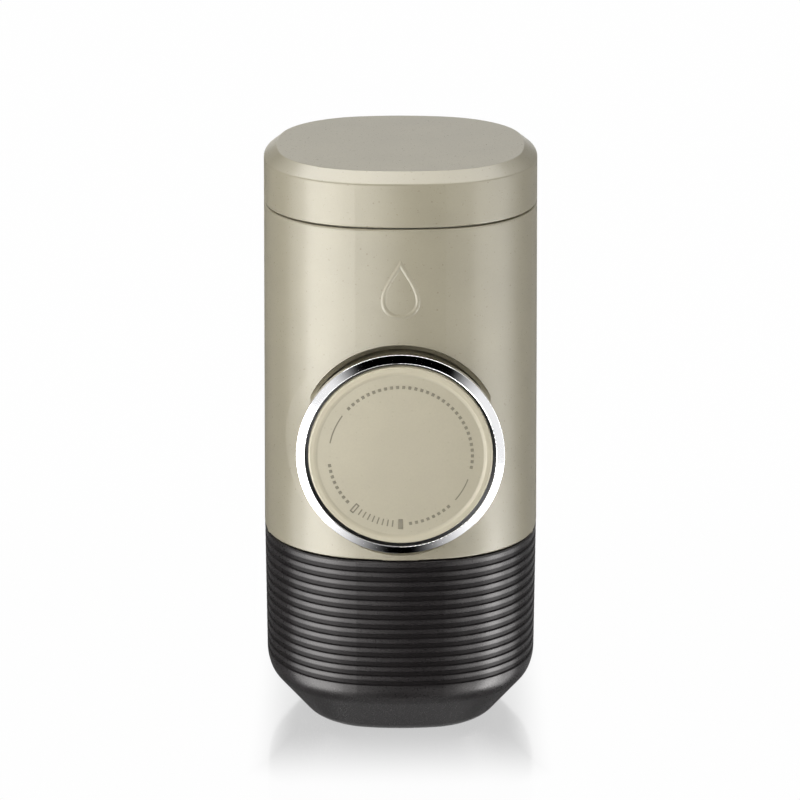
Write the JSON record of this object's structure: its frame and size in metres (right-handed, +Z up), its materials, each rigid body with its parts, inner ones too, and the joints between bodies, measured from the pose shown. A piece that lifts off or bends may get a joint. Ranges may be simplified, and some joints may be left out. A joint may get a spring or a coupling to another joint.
{
  "type": "portable capsule coffee maker",
  "caption": "Portable hand-pumped capsule coffee maker: rounded-square body with a round pump knob, water tank with pull-off cap, brewing chamber and a ribbed push-on cup as its foot",
  "frame": {"origin": "on the floor at the middle of the cup's flat foot, on the body's upright axis", "axes": "+Z up along the body, -Y towards the round pump knob, +X to the knob's right as it faces the viewer"},
  "size_m": [0.062, 0.0656, 0.132],
  "materials": {
    "sand": "satin, fine dark flecks",
    "charcoal": "satin gloss",
    "chrome": "mirror",
    "inner_plastic": "fine matte",
    "tank_plastic": "smooth satin",
    "steel": "bright satin",
    "silicone": "matte",
    "seal_rubber": "matte"
  },
  "bodies": {
    "main_body": {"body_shell": "sand", "knob_guide": "inner_plastic", "pump_block": "inner_plastic", "rod_gland": "inner_plastic", "bulkhead": "inner_plastic", "capsule_chamber": "inner_plastic", "inlet_seat": "inner_plastic", "outlet_retainer": "inner_plastic", "water_tank": "tank_plastic", "piston_spring": "steel", "inlet_spring": "steel", "outlet_spring": "steel", "tank_strainer": "steel", "piercing_plate": "steel", "cup_seal": "seal_rubber", "chamber_seal": "seal_rubber", "tank_seal": "silicone", "bulkhead_screw_1": "steel", "bulkhead_screw_2": "steel", "bulkhead_screw_3": "steel", "bulkhead_screw_4": "steel", "pump_screw_1": "steel", "pump_screw_2": "steel", "chamber_screw_1": "steel", "chamber_screw_2": "steel", "chamber_screw_3": "steel"},
    "cap": {"lid_shell": "sand", "lid_plug": "inner_plastic", "lid_gasket": "silicone", "vent_valve": "silicone", "lid_screw_1": "steel", "lid_screw_2": "steel", "lid_screw_3": "steel", "lid_screw_4": "steel"},
    "piston": {"piston_rod": "inner_plastic", "piston_seal": "seal_rubber", "knob_clip": "steel"},
    "knob": {"knob_skirt": "sand", "knob_ring": "chrome", "knob_disc": "sand"},
    "outlet_head": {"outlet_core": "inner_plastic", "outlet_grid": "steel", "head_gasket": "silicone", "outlet_nozzle": "silicone"},
    "nut": {"lock_nut": "inner_plastic"},
    "drinking_cup": {"cup": "charcoal"},
    "inlet_valve": {"inlet_ball": "steel"},
    "outlet_valve": {"outlet_ball": "steel"}
  },
  "joints": [
    {"name": "cap_pull", "type": "slide", "parent": "main_body", "child": "cap", "axis": [0, 0, 1], "range_m": [0, 0.035]},
    {"name": "piston_stroke", "type": "slide", "parent": "main_body", "child": "piston", "axis": [0, -1, 0], "range_m": [0, 0.015], "deforming": ["piston_spring"]},
    {"name": "knob_turn", "type": "hinge", "parent": "piston", "child": "knob", "pos_m": [0, -0.0295, 0.0701], "axis": [0, -1, 0], "range_deg": [0, 40]},
    {"name": "head_drop", "type": "slide", "parent": "main_body", "child": "outlet_head", "axis": [0, 0, -1], "range_m": [0, 0.045]},
    {"name": "nut_turn", "type": "hinge", "parent": "outlet_head", "child": "nut", "pos_m": [0, 0, 0.012], "axis": [0, 0, -1], "range_deg": [0, 60]},
    {"name": "cup_pull", "type": "slide", "parent": "outlet_head", "child": "drinking_cup", "axis": [0, 0, -1], "range_m": [0, 0.06]},
    {"name": "inlet_lift", "type": "slide", "parent": "main_body", "child": "inlet_valve", "axis": [0, 0, -1], "range_m": [0, 0.001], "stiffness_N_per_m": 60, "deforming": ["inlet_spring"]},
    {"name": "outlet_lift", "type": "slide", "parent": "main_body", "child": "outlet_valve", "axis": [0, 0, -1], "range_m": [0, 0.001], "stiffness_N_per_m": 60, "deforming": ["outlet_spring"]}
  ]
}
